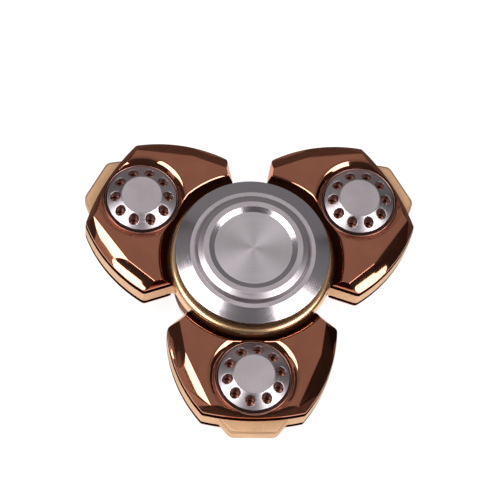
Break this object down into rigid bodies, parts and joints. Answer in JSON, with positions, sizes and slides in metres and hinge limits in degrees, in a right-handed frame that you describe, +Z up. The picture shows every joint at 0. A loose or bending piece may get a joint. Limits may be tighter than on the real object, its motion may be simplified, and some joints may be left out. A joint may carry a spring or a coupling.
{
  "type": "fidget spinner",
  "caption": "Three-armed metal hand spinner: finger caps on a centre ball bearing, copper covers on a gold frame, and a dial that turns in each arm.",
  "frame": {"origin": "on the spin axis, in the plane of the lower cap's flat ring that the spinner rests on", "axes": "+Z up along the spin axis; one arm points along -Y, the others along +X+Y and -X+Y at 120 degrees"},
  "size_m": [0.0652, 0.0599, 0.019],
  "materials": {
    "turned_steel": "turned on a lathe, fine round tool marks, bright",
    "champagne_gold": "champagne-gold plating, polished",
    "yellow_gold": "yellow-gold plating, polished",
    "copper_mirror": "coffee-copper plating, mirror polished",
    "bearing_steel": "ground and polished bearing steel",
    "pressed_steel": "pressed sheet steel",
    "stud_steel": "plain machined steel",
    "bush_bronze": "plain turned bronze"
  },
  "bodies": {
    "grip": {"upper_cap": "turned_steel", "lower_cap": "turned_steel", "axle_stud": "stud_steel", "bearing_inner_ring": "bearing_steel"},
    "rotor": {"spider_frame": "champagne_gold", "bearing_clamp_ring": "yellow_gold", "bearing_outer_ring": "bearing_steel", "upper_bearing_shield": "pressed_steel", "lower_bearing_shield": "pressed_steel", "upper_cover_front": "copper_mirror", "upper_cover_left": "copper_mirror", "upper_cover_right": "copper_mirror", "upper_cup_front": "copper_mirror", "upper_cup_left": "copper_mirror", "upper_cup_right": "copper_mirror", "lower_cover_front": "copper_mirror", "lower_cover_left": "copper_mirror", "lower_cover_right": "copper_mirror", "lower_cup_front": "copper_mirror", "lower_cup_left": "copper_mirror", "lower_cup_right": "copper_mirror", "dial_bush_front": "bush_bronze", "dial_bush_left": "bush_bronze", "dial_bush_right": "bush_bronze"},
    "ball_set": {"bearing_balls": "bearing_steel", "bearing_cage": "pressed_steel"},
    "front_dials": {"upper_dial_front": "turned_steel", "lower_dial_front": "turned_steel", "dial_stem_front": "stud_steel"},
    "left_dials": {"upper_dial_left": "turned_steel", "lower_dial_left": "turned_steel", "dial_stem_left": "stud_steel"},
    "right_dials": {"upper_dial_right": "turned_steel", "lower_dial_right": "turned_steel", "dial_stem_right": "stud_steel"}
  },
  "joints": [
    {"name": "spin", "type": "hinge", "parent": "grip", "child": "rotor", "pos_m": [0, 0, 0.0095], "axis": [0, 0, 1], "continuous": true},
    {"name": "ball_orbit", "type": "hinge", "parent": "grip", "child": "ball_set", "pos_m": [0, 0, 0.0095], "axis": [0, 0, 1], "continuous": true},
    {"name": "front_dial_turn", "type": "hinge", "parent": "rotor", "child": "front_dials", "pos_m": [0, -0.02469, 0.0095], "axis": [0, 0, 1], "continuous": true},
    {"name": "left_dial_turn", "type": "hinge", "parent": "rotor", "child": "left_dials", "pos_m": [-0.02138, 0.01235, 0.0095], "axis": [0, 0, 1], "continuous": true},
    {"name": "right_dial_turn", "type": "hinge", "parent": "rotor", "child": "right_dials", "pos_m": [0.02138, 0.01235, 0.0095], "axis": [0, 0, 1], "continuous": true}
  ],
  "couplings": [
    {"joint": "ball_orbit", "follows": "spin", "ratio": 0.6323}
  ]
}
